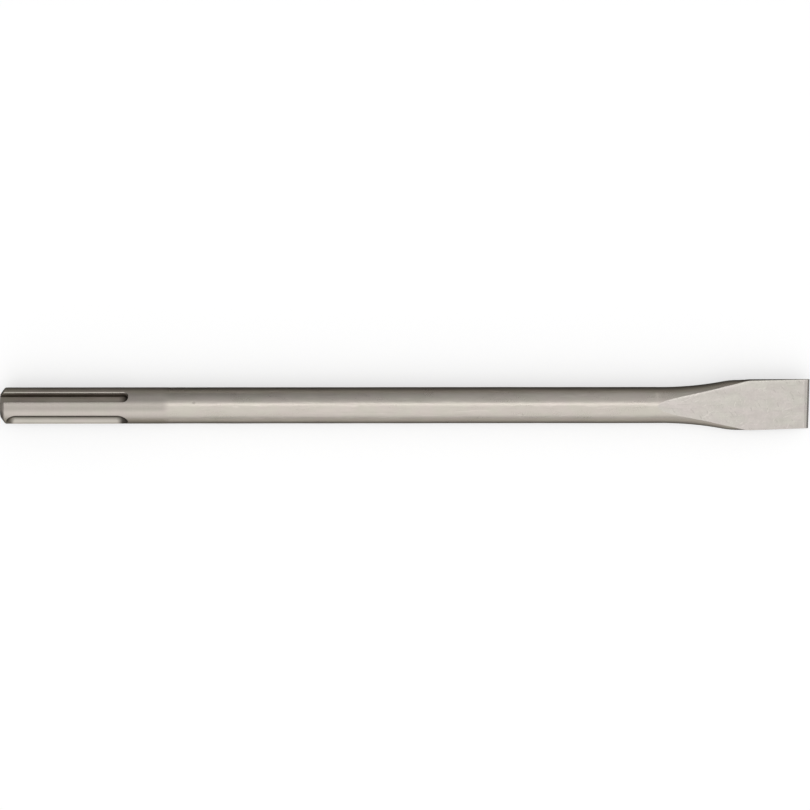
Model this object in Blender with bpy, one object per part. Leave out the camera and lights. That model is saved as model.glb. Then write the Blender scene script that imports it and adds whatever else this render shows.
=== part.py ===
"""Flat chisel for a demolition hammer, forged in one piece from a round bar of tool steel.

The origin is the centre of the striking face at the rear. +X runs along the bar to the cutting
edge, +Z stands square on the middle plane of the blade, and +Y runs across the blade. The lowest
line of the bar is at z = -BAR_DIAMETER / 2. All sizes are in metres.
"""

import math

import bmesh
import bpy
from mathutils import Vector

# Bar
OVERALL_LENGTH = 0.4000
BAR_DIAMETER = 0.0180

# Striking end: a turned chamfer with softened corners
CHAMFER_LENGTH = 0.0022
CHAMFER_HEIGHT = 0.0029
CHAMFER_CORNER_RADIUS = 0.0012

# Drive grooves: open at the striking end, round at the other, one alone and two opposite it
DRIVE_LENGTH = 0.0635
DRIVE_WIDTH = 0.0050
DRIVE_DEPTH = 0.0036
DRIVE_DRAFT = math.radians(8)
DRIVE_FLOOR_RADIUS = 0.0006
DRIVE_RIM_RADIUS = 0.0008
DRIVE_RIM_BREAK = math.radians(12)
DRIVE_ANGLE = math.radians(34)
DRIVE_PAIR_SPREAD = math.radians(35)

# Locking pockets: closed at both ends, cut with a ball-nosed tool at a quarter turn
POCKET_START = 0.0033
POCKET_END = 0.0630
POCKET_RADIUS = 0.00525
POCKET_DEPTH = 0.00275
POCKET_FROM_DRIVE = math.radians(90)

# Blade outline: the bar flares through a hollow curve and a round shoulder to straight sides
BLADE_LENGTH = 0.0355
SHOULDER_WIDTH = 0.0248
EDGE_WIDTH = 0.0244
FLARE_RADIUS = 0.160
SHOULDER_RADIUS = 0.040
FLANK_SQUARENESS = 6.0
FLANK_LEAD = 0.0045
FLANK_BLEND_LENGTH = 0.0110

# Blade wedge: two flats, then two short cutting bevels
FLAT_LENGTH = 0.0757
WEDGE_THICKNESS = 0.0014
BEVEL_LENGTH = 0.0010
EDGE_THICKNESS = 0.0003
CREASE_RADIUS = 0.0004
THICKEST_CREASE = 0.8

# The forging is not quite true: the blade leans to +Y and its edge is ground out of square
BLADE_LEAN = 0.0006
EDGE_SLANT = math.radians(1.0)

# Steel
STEEL_COLOUR = (0.58, 0.55, 0.51, 1.0)
STEEL_ROUGHNESS = 0.38
SHARP_ANGLE = math.radians(20)

# Fineness of the curves
QUARTER_SIDES = 18
CORNER_STEPS = 6
GATHER_LENGTH = 0.0080
GATHER_STEPS = 4
FLARE_STEPS = 16
FLARE_CROWDING = 1.6
FLANK_STEPS = 6
CREASE_STEPS = 5
TANGENT_ANGLE = math.radians(2)
GROOVE_END_STEPS = 14
MEETING_STEPS = 4
POCKET_SIDES = 40
BALL_STEPS = 9

# How far a cutter stands clear of the steel, and how near two points are the same point
CUTTER_CLEARANCE = 0.0015
SAME_POINT = 1e-7

BAR_RADIUS = BAR_DIAMETER / 2
HALF_SIDE = math.pi / 4 / QUARTER_SIDES
SHOULDER_X = OVERALL_LENGTH - BLADE_LENGTH


def rounded_corner(before, corner, after, radius, steps):
    """Gives the points of an arc that rounds the corner between two straight lines."""
    back = (before - corner).normalized()
    ahead = (after - corner).normalized()
    half_angle = back.angle(ahead) / 2
    tangent = radius / math.tan(half_angle)
    centre = corner + (back + ahead).normalized() * (radius / math.sin(half_angle))
    first = (corner + back * tangent - centre).normalized()
    last = (corner + ahead * tangent - centre).normalized()
    return [centre + first.slerp(last, step / steps) * radius for step in range(steps + 1)]


def new_object(name, bm):
    """Puts the faces of a bmesh into a new object of the scene."""
    mesh = bpy.data.meshes.new(name)
    bm.to_mesh(mesh)
    bm.free()
    thing = bpy.data.objects.new(name, mesh)
    bpy.context.scene.collection.objects.link(thing)
    return thing


def clean_up(bm):
    """Joins the points that coincide and turns every face outwards."""
    bmesh.ops.remove_doubles(bm, verts=bm.verts, dist=SAME_POINT)
    bmesh.ops.recalc_face_normals(bm, faces=bm.faces)


def flare_turn():
    """Gives the angle that the hollow curve turns through before the shoulder turns it back."""
    rise = SHOULDER_WIDTH / 2 - BAR_RADIUS
    return math.acos(1 - rise / (FLARE_RADIUS + SHOULDER_RADIUS))


def flare_start():
    """Gives the place along the bar where its sides begin to spread."""
    return SHOULDER_X - (FLARE_RADIUS + SHOULDER_RADIUS) * math.sin(flare_turn())


def half_width(x):
    """Gives the distance from the middle line to the side of the chisel at a place along it."""
    hollow_end = flare_start() + FLARE_RADIUS * math.sin(flare_turn())
    if x <= flare_start():
        return BAR_RADIUS
    if x <= hollow_end:
        return BAR_RADIUS + FLARE_RADIUS - math.sqrt(FLARE_RADIUS ** 2 - (x - flare_start()) ** 2)
    if x <= SHOULDER_X:
        drop = SHOULDER_RADIUS - math.sqrt(SHOULDER_RADIUS ** 2 - (SHOULDER_X - x) ** 2)
        return SHOULDER_WIDTH / 2 - drop
    along = (x - SHOULDER_X) / BLADE_LENGTH
    return (SHOULDER_WIDTH + (EDGE_WIDTH - SHOULDER_WIDTH) * along) / 2


def flank_blend(x):
    """Gives how far the round flanks of the flare have turned into the straight sides, from 0 to 1."""
    along = (x - SHOULDER_X + FLANK_LEAD) / FLANK_BLEND_LENGTH
    return min(max(along, 0.0), 1.0)


def squareness(x):
    """Gives the exponent of the section: 2 is an oval, and more brings the sides upright."""
    return 2 / (1 - (1 - 2 / FLANK_SQUARENESS) * flank_blend(x) ** 2)


def flat_rise():
    """Gives how steeply each flat of the blade climbs from the edge towards the bar."""
    return (BAR_DIAMETER - WEDGE_THICKNESS) / 2 / FLAT_LENGTH


def flat_height(x):
    """Gives the height of the upper flat above the middle plane, with the cutting bevel at its end."""
    from_edge = OVERALL_LENGTH - x
    height = WEDGE_THICKNESS / 2 + from_edge * flat_rise()
    if from_edge < BEVEL_LENGTH:
        root = WEDGE_THICKNESS / 2 + BEVEL_LENGTH * flat_rise()
        height = EDGE_THICKNESS / 2 + (root - EDGE_THICKNESS / 2) * from_edge / BEVEL_LENGTH
    return height


def flat_start():
    """Gives the place where the flats come out of the topmost and lowest sides of the bar."""
    side_height = BAR_RADIUS * math.cos(HALF_SIDE)
    return OVERALL_LENGTH - (side_height - WEDGE_THICKNESS / 2) / flat_rise()


def flank_point(width, height, exponent, angle):
    """Gives a point of the rounded flank: angle is 0 at the side and a right angle at the top."""
    up = math.sin(angle)
    return Vector((width * (1 - up ** exponent) ** (1 / exponent), height * up))


def flank_angles(first):
    """Gives the even angles at which a flank is drawn, from below its crease to beside its side."""
    count = QUARTER_SIDES - CREASE_STEPS - 1
    return [first * (1 - step / (count + 0.5)) for step in range(1, count + 1)]


def round_quarter(radius, gathered=0.0):
    """Gives a quarter of a round section, from beside its top to beside its side.

    The points are even round the bar, and as gathered goes from 0 to 1 they slide to the places
    that they have where the flats begin.
    """
    first = math.pi / 2 - HALF_SIDE
    even = [first - 2 * HALF_SIDE * step for step in range(QUARTER_SIDES)]
    ready = [first] * (CREASE_STEPS + 1) + flank_angles(first)
    angles = [there * gathered + here * (1 - gathered) for here, there in zip(even, ready)]
    return [flank_point(radius, radius, 2, angle) for angle in angles]


def blade_quarter(x):
    """Gives a quarter of the section where it has flats, from the flat over its crease to the side."""
    width = half_width(x)
    exponent = squareness(x)
    flat = flat_height(x)
    crease_angle = math.asin(flat / BAR_RADIUS)
    crease = flank_point(width, BAR_RADIUS, exponent, crease_angle)
    below = flank_point(width, BAR_RADIUS, exponent, max(crease_angle - TANGENT_ANGLE, 0))
    radius = min(CREASE_RADIUS, flat * THICKEST_CREASE)
    rounding = rounded_corner(Vector((0, flat)), crease, below, radius, CREASE_STEPS)
    first = math.asin(rounding[-1].y / BAR_RADIUS)
    return rounding + [flank_point(width, BAR_RADIUS, exponent, angle) for angle in flank_angles(first)]


def section(bm, x, quarter):
    """Makes one ring of points from a quarter of its outline, leaning and slanting on the blade."""
    past_shoulder = max(x - SHOULDER_X, 0.0) / BLADE_LENGTH
    outline = [(across, up) for across, up in quarter]
    outline += [(across, -up) for across, up in reversed(quarter)]
    outline += [(-across, -up) for across, up in quarter]
    outline += [(-across, up) for across, up in reversed(quarter)]
    ring = []
    for across, up in outline:
        slant = across * math.tan(EDGE_SLANT) * past_shoulder
        ring.append(bm.verts.new((x + slant, across + BLADE_LEAN * past_shoulder, up)))
    return ring


def bar_sections(bm):
    """Makes the round rings, from the striking face to the place where the flats begin."""
    inner = Vector((0, BAR_RADIUS - CHAMFER_HEIGHT))
    outer = Vector((CHAMFER_LENGTH, BAR_RADIUS))
    bar_end = Vector((flat_start(), BAR_RADIUS))
    outline = rounded_corner(Vector((0, 0)), inner, outer, CHAMFER_CORNER_RADIUS, CORNER_STEPS)
    outline += rounded_corner(inner, outer, bar_end, CHAMFER_CORNER_RADIUS, CORNER_STEPS)
    rings = [section(bm, x, round_quarter(radius)) for x, radius in outline]
    for step in range(GATHER_STEPS + 1):
        gathered = step / GATHER_STEPS
        x = flat_start() - GATHER_LENGTH * (1 - gathered)
        rings.append(section(bm, x, round_quarter(BAR_RADIUS, gathered)))
    return rings


def blade_sections(bm):
    """Makes the rings of the flare and the blade, close together where the flats begin."""
    flank_start = SHOULDER_X - FLANK_LEAD
    flare_length = flank_start - flat_start()
    stations = [
        flat_start() + flare_length * (step / FLARE_STEPS) ** FLARE_CROWDING
        for step in range(1, FLARE_STEPS + 1)]
    stations += [flank_start + FLANK_BLEND_LENGTH * step / FLANK_STEPS for step in range(1, FLANK_STEPS + 1)]
    stations += [OVERALL_LENGTH - BEVEL_LENGTH, OVERALL_LENGTH]
    return [section(bm, x, blade_quarter(x)) for x in stations]


def forged_blank():
    """Lofts the bar, its flare and its blade through their sections, before the shank is slotted."""
    bm = bmesh.new()
    bar = bar_sections(bm)
    rings = bar + blade_sections(bm)
    sides = len(rings[0])
    flats = (sides - 1, sides // 2 - 1)
    for number, (ring, following) in enumerate(zip(rings, rings[1:]), start=1):
        for step in range(sides):
            nearby = (step + 1) % sides
            side = bm.faces.new((ring[step], ring[nearby], following[nearby], following[step]))
            side.smooth = number < len(bar) or step not in flats
    bm.faces.new(rings[0])
    bm.faces.new(rings[-1])
    clean_up(bm)
    return new_object("chisel", bm)


def drive_profile(across):
    """Gives half the section of the drive groove's cutter, from its floor to its top.

    The section is square to the groove's rim, and across is the share of its direction that runs
    round the bar: 1 beside the groove and 0 at the tip of its round end. The rim's rounding
    follows the bar from one to the other. Each point is a distance from the groove's middle line
    and a height above the bar's axis. Each step of the loop brings the meeting of the leaning
    wall and the round bar closer.
    """
    floor = BAR_RADIUS - DRIVE_DEPTH
    side = DRIVE_WIDTH / 2
    side_height = math.sqrt(BAR_RADIUS ** 2 - side ** 2)
    floor_corner = Vector((side - (side_height - floor) * math.tan(DRIVE_DRAFT), floor))
    reach = side
    for _ in range(MEETING_STEPS):
        rim_height = math.sqrt(BAR_RADIUS ** 2 - (reach * across) ** 2)
        reach = side + (rim_height - side_height) * math.tan(DRIVE_DRAFT)
    rim = Vector((reach, rim_height))
    fall = math.atan(reach * across ** 2 / rim_height) - DRIVE_RIM_BREAK
    clear = rim + Vector((math.cos(fall), -math.sin(fall))) * (DRIVE_RIM_RADIUS + CUTTER_CLEARANCE)
    top = BAR_RADIUS + CUTTER_CLEARANCE

    profile = [Vector((0, floor))]
    profile += rounded_corner(profile[0], floor_corner, rim, DRIVE_FLOOR_RADIUS, CORNER_STEPS)
    profile += rounded_corner(floor_corner, rim, clear, DRIVE_RIM_RADIUS, CORNER_STEPS)
    return profile + [clear, Vector((clear.x, top)), Vector((0, top))]


def drive_cutter(name):
    """Sweeps the groove's section along one side, round the end and back along the other side."""
    end_x = DRIVE_LENGTH - DRIVE_WIDTH / 2
    path = [(-CUTTER_CLEARANCE, -math.pi / 2)]
    path += [(end_x, math.pi * (step / GROOVE_END_STEPS - 0.5)) for step in range(GROOVE_END_STEPS + 1)]
    path.append((-CUTTER_CLEARANCE, math.pi / 2))

    bm = bmesh.new()
    rows = []
    for x, turn in path:
        profile = drive_profile(math.sin(turn))
        rows.append([
            bm.verts.new((x + out * math.cos(turn), out * math.sin(turn), up)) for out, up in profile])
    for row, following in zip(rows, rows[1:]):
        for step in range(len(row) - 1):
            wall = bm.faces.new((row[step], following[step], following[step + 1], row[step + 1]))
            wall.smooth = True
    bmesh.ops.remove_doubles(bm, verts=bm.verts, dist=SAME_POINT)
    bmesh.ops.holes_fill(bm, edges=bm.edges)
    clean_up(bm)
    return new_object(name, bm)


def pocket_cutter(name):
    """Turns the outline of a round bar with ball ends, laid along the top of the shank."""
    axis_height = BAR_RADIUS - POCKET_DEPTH + POCKET_RADIUS
    run_out = math.sqrt(POCKET_RADIUS ** 2 - (axis_height - BAR_RADIUS) ** 2)
    start_x = POCKET_START + run_out
    end_x = POCKET_END - run_out
    outline = []
    for centre_x, first in ((start_x, math.pi), (end_x, math.pi / 2)):
        for step in range(BALL_STEPS + 1):
            turn = first - math.pi / 2 * step / BALL_STEPS
            outline.append((centre_x + POCKET_RADIUS * math.cos(turn), POCKET_RADIUS * math.sin(turn)))

    bm = bmesh.new()
    points = [bm.verts.new((x, 0, axis_height + radius)) for x, radius in outline]
    edges = [bm.edges.new(pair) for pair in zip(points, points[1:])]
    bmesh.ops.spin(
        bm, geom=points + edges, cent=(0, 0, axis_height), axis=(1, 0, 0),
        angle=2 * math.pi, steps=POCKET_SIDES, use_duplicate=False)
    for face in bm.faces:
        face.smooth = True
    clean_up(bm)
    return new_object(name, bm)


def cut_with(part, cutter, angle):
    """Turns a cutter round the bar, from +Z towards +Y, and takes it out of the part."""
    cutter.rotation_euler.x = -angle
    cutter.hide_render = True
    cutter.display_type = "WIRE"
    cut = part.modifiers.new(cutter.name, "BOOLEAN")
    cut.operation = "DIFFERENCE"
    cut.solver = "EXACT"
    cut.object = cutter


def slot_shank(part):
    """Cuts the three drive grooves and the two locking pockets into the shank."""
    opposite = DRIVE_ANGLE + math.pi
    grooves = (DRIVE_ANGLE, opposite - DRIVE_PAIR_SPREAD, opposite + DRIVE_PAIR_SPREAD)
    pockets = (DRIVE_ANGLE - POCKET_FROM_DRIVE, DRIVE_ANGLE + POCKET_FROM_DRIVE)
    for number, angle in enumerate(grooves, start=1):
        cut_with(part, drive_cutter(f"drive_groove_cutter_{number}"), angle)
    for number, angle in enumerate(pockets, start=1):
        cut_with(part, pocket_cutter(f"locking_pocket_cutter_{number}"), angle)


def apply_cuts(part):
    """Turns the part's modifiers into plain faces, so that the cut edges can be shaded too."""
    depsgraph = bpy.context.evaluated_depsgraph_get()
    finished = bpy.data.meshes.new_from_object(part.evaluated_get(depsgraph))
    part.modifiers.clear()
    part.data = finished


def forged_steel():
    """Makes the bare, satin steel of the chisel."""
    material = bpy.data.materials.new("forged_steel")
    material.use_nodes = True
    shader = material.node_tree.nodes["Principled BSDF"]
    shader.inputs["Base Color"].default_value = STEEL_COLOUR
    shader.inputs["Metallic"].default_value = 1.0
    shader.inputs["Roughness"].default_value = STEEL_ROUGHNESS
    return material


def main():
    """Clears the scene and builds the chisel."""
    for thing in list(bpy.data.objects):
        bpy.data.objects.remove(thing, do_unlink=True)
    chisel = forged_blank()
    slot_shank(chisel)
    apply_cuts(chisel)
    chisel.data.materials.append(forged_steel())
    chisel.data.set_sharp_from_angle(angle=SHARP_ANGLE)


main()
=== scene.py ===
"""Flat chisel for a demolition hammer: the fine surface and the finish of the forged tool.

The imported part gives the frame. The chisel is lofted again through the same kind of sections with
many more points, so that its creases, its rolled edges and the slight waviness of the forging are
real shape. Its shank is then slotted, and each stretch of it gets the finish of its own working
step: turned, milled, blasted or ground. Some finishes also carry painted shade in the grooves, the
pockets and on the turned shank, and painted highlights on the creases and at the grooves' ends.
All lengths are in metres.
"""

import logging
import math
from dataclasses import dataclass, replace
from enum import Enum

import bmesh
import bpy
from mathutils import Matrix, Vector, noise


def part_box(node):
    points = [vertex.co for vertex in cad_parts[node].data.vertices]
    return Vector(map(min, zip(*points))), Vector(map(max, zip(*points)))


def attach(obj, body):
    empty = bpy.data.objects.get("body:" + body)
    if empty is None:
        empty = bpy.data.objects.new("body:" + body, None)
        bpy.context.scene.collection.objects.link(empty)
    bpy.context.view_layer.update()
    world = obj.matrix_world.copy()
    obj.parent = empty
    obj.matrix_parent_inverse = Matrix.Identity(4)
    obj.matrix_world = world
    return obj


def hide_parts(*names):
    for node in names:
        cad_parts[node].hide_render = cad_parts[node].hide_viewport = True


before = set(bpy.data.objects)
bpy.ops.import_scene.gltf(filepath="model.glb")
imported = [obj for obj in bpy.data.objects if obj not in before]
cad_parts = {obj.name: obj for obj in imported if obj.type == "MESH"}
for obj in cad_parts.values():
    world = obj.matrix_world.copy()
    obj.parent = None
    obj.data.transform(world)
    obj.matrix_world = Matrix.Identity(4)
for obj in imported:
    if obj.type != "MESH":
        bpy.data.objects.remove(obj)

log = logging.getLogger("chisel")

MM = 0.001
BODY = "root"
NODE = "chisel"
SAME_POINT = 1e-7

Pair = tuple[float, float]
Size = tuple[float, float, float]
Colour = tuple[float, float, float]
Socket = bpy.types.NodeSocket
NEUTRAL = (1.0, 1.0, 1.0)


class Zone(Enum):
    """Names the stretches of the chisel that carry a finish of their own."""

    FACE = 0
    BAR = 1
    MILLED = 2
    WALL = 3
    RIM = 4
    FLAT = 5
    GROUND = 6
    POCKET = 7
    CREASE = 8


class Way(Enum):
    """Names the ways to measure over the chisel, each by its axes."""

    ALONG = "X"
    ACROSS = "Y"
    OUTWARD = "YZ"


def mm(*lengths: float) -> tuple[float, ...]:
    """Turns lengths in millimetres into metres."""
    return tuple(length * MM for length in lengths)


def smooth_step(low: float, high: float, value: float) -> float:
    """Blends softly from 0, where a value is low, to 1, where it is high."""
    share = min(max((value - low) / (high - low), 0.0), 1.0)
    return share * share * (3 - 2 * share)


def tipped(lean: float) -> Vector:
    """Gives the direction upwards, tipped back by an angle towards +Y."""
    return Vector((0, math.sin(lean), math.cos(lean)))


def rounded_corner(
        before: Vector, corner: Vector, after: Vector, radius: float, steps: int) -> list[Vector]:
    """Rounds the corner between two straight lines.

    Args:
        before: A point on the line that comes into the corner.
        corner: The sharp corner.
        after: A point on the line that leaves the corner.
        radius: The radius of the rounding.
        steps: How many pieces the arc has.

    Returns:
        The points of the arc.
    """
    back = (before - corner).normalized()
    ahead = (after - corner).normalized()
    half_angle = back.angle(ahead) / 2
    tangent = radius / math.tan(half_angle)
    centre = corner + (back + ahead).normalized() * (radius / math.sin(half_angle))
    first = (corner + back * tangent - centre).normalized()
    last = (corner + ahead * tangent - centre).normalized()
    return [centre + first.slerp(last, step / steps) * radius for step in range(steps + 1)]


def clean_up(bm: bmesh.types.BMesh) -> None:
    """Joins the points that coincide and turns every face outwards."""
    bmesh.ops.remove_doubles(bm, verts=bm.verts, dist=SAME_POINT)
    bmesh.ops.recalc_face_normals(bm, faces=bm.faces)


def add_to_scene(name: str, data: bpy.types.ID) -> bpy.types.Object:
    """Puts a mesh, a lamp or a camera into the scene.

    Args:
        name: The name of the object.
        data: What the object shows.

    Returns:
        The new object.
    """
    thing = bpy.data.objects.new(name, data)
    bpy.context.scene.collection.objects.link(thing)
    return thing


def new_object(name: str, bm: bmesh.types.BMesh) -> bpy.types.Object:
    """Puts a mesh into a new object of the scene.

    Args:
        name: The name of the object.
        bm: The mesh, which is used up.

    Returns:
        The new object.
    """
    mesh = bpy.data.meshes.new(name)
    bm.to_mesh(mesh)
    bm.free()
    return add_to_scene(name, mesh)


def new_sheet(name: str, size: float, place: Vector) -> bpy.types.Object:
    """Lays down a flat, square sheet.

    Args:
        name: The name of the object.
        size: The length of its sides.
        place: Its middle.

    Returns:
        The sheet.
    """
    bm = bmesh.new()
    bmesh.ops.create_grid(bm, x_segments=1, y_segments=1, size=size / 2)
    sheet = new_object(name, bm)
    sheet.location = place
    return sheet


class NodeBuilder:
    """Builds a node tree step by step."""

    def __init__(self, tree: bpy.types.NodeTree) -> None:
        """Keeps the tree that the nodes go into."""
        self.tree = tree

    def add(self, kind: str, settings: dict | None = None, **inputs: object) -> bpy.types.Node:
        """Adds a node.

        Args:
            kind: The node's type name.
            settings: The node's own properties.
            **inputs: Values or sockets for its inputs.

        Returns:
            The new node.
        """
        node = self.tree.nodes.new(kind)
        for key, value in (settings or {}).items():
            setattr(node, key, value)
        for key, value in inputs.items():
            self.put(value, node.inputs[key])
        return node

    def put(self, value: object, socket: Socket) -> None:
        """Links a socket to an input, or writes a plain value or colour to it.

        Args:
            value: A socket, a number, a vector or a colour.
            socket: The input.
        """
        if isinstance(value, Socket):
            self.tree.links.new(value, socket)
        else:
            socket.default_value = (*value, 1) if socket.type == "RGBA" else value

    def math(self, kind: str, first: object, second: object = 0.0) -> Socket:
        """Adds a math node.

        Args:
            kind: The operation.
            first: A socket or a number.
            second: A socket or a number, for an operation on two.

        Returns:
            The result's socket.
        """
        node = self.add("ShaderNodeMath", {"operation": kind})
        self.put(first, node.inputs[0])
        self.put(second, node.inputs[1])
        return node.outputs[0]

    def plus(self, total: object, value: object, factor: object) -> Socket:
        """Adds a value, times a factor, to a total."""
        return self.math("ADD", total, self.math("MULTIPLY", value, factor))

    def spread(self, value: Socket, old: Pair, new: Pair = (0, 1)) -> Socket:
        """Maps one range of a value onto another range, and holds it there.

        Args:
            value: The socket to map.
            old: The lowest and highest value that count.
            new: What they become.

        Returns:
            The mapped socket.
        """
        node = self.add("ShaderNodeMapRange", Value=value)
        for key, number in zip(("From Min", "From Max", "To Min", "To Max"), (*old, *new)):
            node.inputs[key].default_value = number
        return node.outputs["Result"]


class Shader(NodeBuilder):
    """Builds one node material, on the metre scale of the piece itself."""

    # The mix node has inputs of the same names for numbers, so its colour sockets go by number.
    colour_inputs: tuple[int, int, int] = (0, 6, 7)
    colour_output: int = 2

    def __init__(self, name: str) -> None:
        """Starts a material with its own output and principled shader.

        Args:
            name: The name of the material.
        """
        self.material = bpy.data.materials.new(name)
        self.material.use_nodes = True
        super().__init__(self.material.node_tree)
        self.place = self.add("ShaderNodeTexCoord").outputs["Object"]

    def paint(self, inputs: dict[str, object]) -> bpy.types.Material:
        """Sets the surface.

        Args:
            inputs: Values or sockets for inputs of the principled shader.

        Returns:
            The finished material.
        """
        surface = self.tree.nodes["Principled BSDF"]
        for key, value in inputs.items():
            self.put(value, surface.inputs[key])
        return self.material

    def measure(self, way: Way) -> Socket:
        """Measures along the bar, across the blade or outward from the bar's axis.

        Args:
            way: Which of the three.

        Returns:
            The socket with the distance in metres.
        """
        parts = self.add("ShaderNodeSeparateXYZ", Vector=self.place).outputs
        if way is not Way.OUTWARD:
            return parts[way.value]
        squares = [self.math("MULTIPLY", parts[axis], parts[axis]) for axis in way.value]
        return self.math("SQRT", self.math("ADD", *squares))

    def stretched(self, size: Size, turn: float = 0.0) -> Socket:
        """Gives coordinates in which a wave of a texture has a set size.

        Args:
            size: The length of a wave along each axis.
            turn: How far the first two axes are turned about the third.

        Returns:
            The socket with the coordinates.
        """
        node = self.add(
            "ShaderNodeMapping", {"vector_type": "TEXTURE"},
            Vector=self.place, Rotation=(0.0, 0.0, turn), Scale=size)
        return node.outputs["Vector"]

    def noise(self, size: Size, detail: float, rough: float = 0.5, turn: float = 0.0) -> Socket:
        """Adds a noise texture.

        Args:
            size: The length of a wave along each axis.
            detail: How many finer octaves it has.
            rough: How strong the finer octaves are.
            turn: How far the first two axes are turned about the third.

        Returns:
            The socket with values round 0.5.
        """
        node = self.add(
            "ShaderNodeTexNoise", Vector=self.stretched(size, turn), Scale=1.0, Detail=detail,
            Roughness=rough)
        return node.outputs["Fac"]

    def ring_noise(self, size: float, detail: float) -> Socket:
        """Adds a noise that changes only with the distance from the bar's axis.

        Args:
            size: The length of a wave outwards.
            detail: How many finer octaves it has.

        Returns:
            The socket with values round 0.5.
        """
        reach = self.math("DIVIDE", self.measure(Way.OUTWARD), size)
        node = self.add(
            "ShaderNodeTexNoise", {"noise_dimensions": "1D"}, W=reach, Scale=1.0, Detail=detail)
        return node.outputs["Fac"]

    def ragged(self, place: Socket, size: Size, detail: float, amount: float) -> Socket:
        """Makes a distance wander by an amount of noise, so that what it bounds is ragged."""
        return self.plus(place, self.math("SUBTRACT", self.noise(size, detail), 0.5), amount)

    def blend(self, share: object, low: object, high: object, kind: str = "MIX") -> Socket:
        """Mixes two colours.

        Args:
            share: How much of the second colour shows.
            low: The first colour.
            high: The second colour.
            kind: How the second colour acts on the first.

        Returns:
            The mixed colour's socket.
        """
        node = self.add("ShaderNodeMix", {"data_type": "RGBA", "blend_type": kind})
        for value, index in zip((share, low, high), self.colour_inputs):
            self.put(value, node.inputs[index])
        return node.outputs[self.colour_output]

    def between(self, share: object, low: object, high: object) -> Socket:
        """Mixes two numbers, where share is how much of the second one counts."""
        return self.plus(low, share, self.math("SUBTRACT", high, low))


@dataclass(frozen=True)
class Streaks:
    """Fine lines or scratches that run one way over a surface."""

    depth: float
    shade: float
    size: Size = mm(12, 0.35, 0.35)
    cut: Pair = (0.3, 0.42)
    turn: float = 0.0
    patch: float = 0.0
    rings: bool = False
    detail: float = 2.0
    rough: float = 0.6
    patch_cut: Pair = (0.45, 0.6)

    def mask(self, shader: Shader) -> Socket:
        """Draws the lines.

        Args:
            shader: The material that takes the nodes.

        Returns:
            A socket that is 1 in a line and 0 beside it.
        """
        if self.rings:
            lines = shader.ring_noise(self.size[0], self.detail)
        else:
            lines = shader.noise(self.size, self.detail, self.rough, self.turn)
        lines = shader.spread(lines, self.cut, (1, 0))
        if not self.patch:
            return lines
        patches = shader.spread(shader.noise((self.patch,) * 3, detail=1), self.patch_cut)
        return shader.math("MULTIPLY", lines, patches)


@dataclass(frozen=True)
class ToneBand:
    """A band that darkens or lightens the steel's colour over a stretch: mostly painted shade, once
    a painted highlight.
    """

    way: Way
    fade: Pair
    keep: float
    raggedness: float = 0.0
    tint: Colour = (1.0, 0.97, 0.93)
    about: float | None = None
    edge: Size = mm(3, 1.5, 1.5)
    edge_detail: float = 3.0

    def shade(self, shader: Shader, colour: Socket) -> Socket:
        """Changes a colour where the band lies.

        Args:
            shader: The material that takes the nodes.
            colour: The steel's colour outside the band.

        Returns:
            The banded colour's socket.
        """
        place = shader.measure(self.way)
        if self.about is not None:
            place = shader.math("ABSOLUTE", shader.math("SUBTRACT", place, self.about))
        if self.raggedness:
            place = shader.ragged(place, self.edge, self.edge_detail, self.raggedness)
        kept = tuple(value * self.keep for value in self.tint)
        return shader.blend(shader.spread(place, self.fade), colour, kept, "MULTIPLY")


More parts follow.
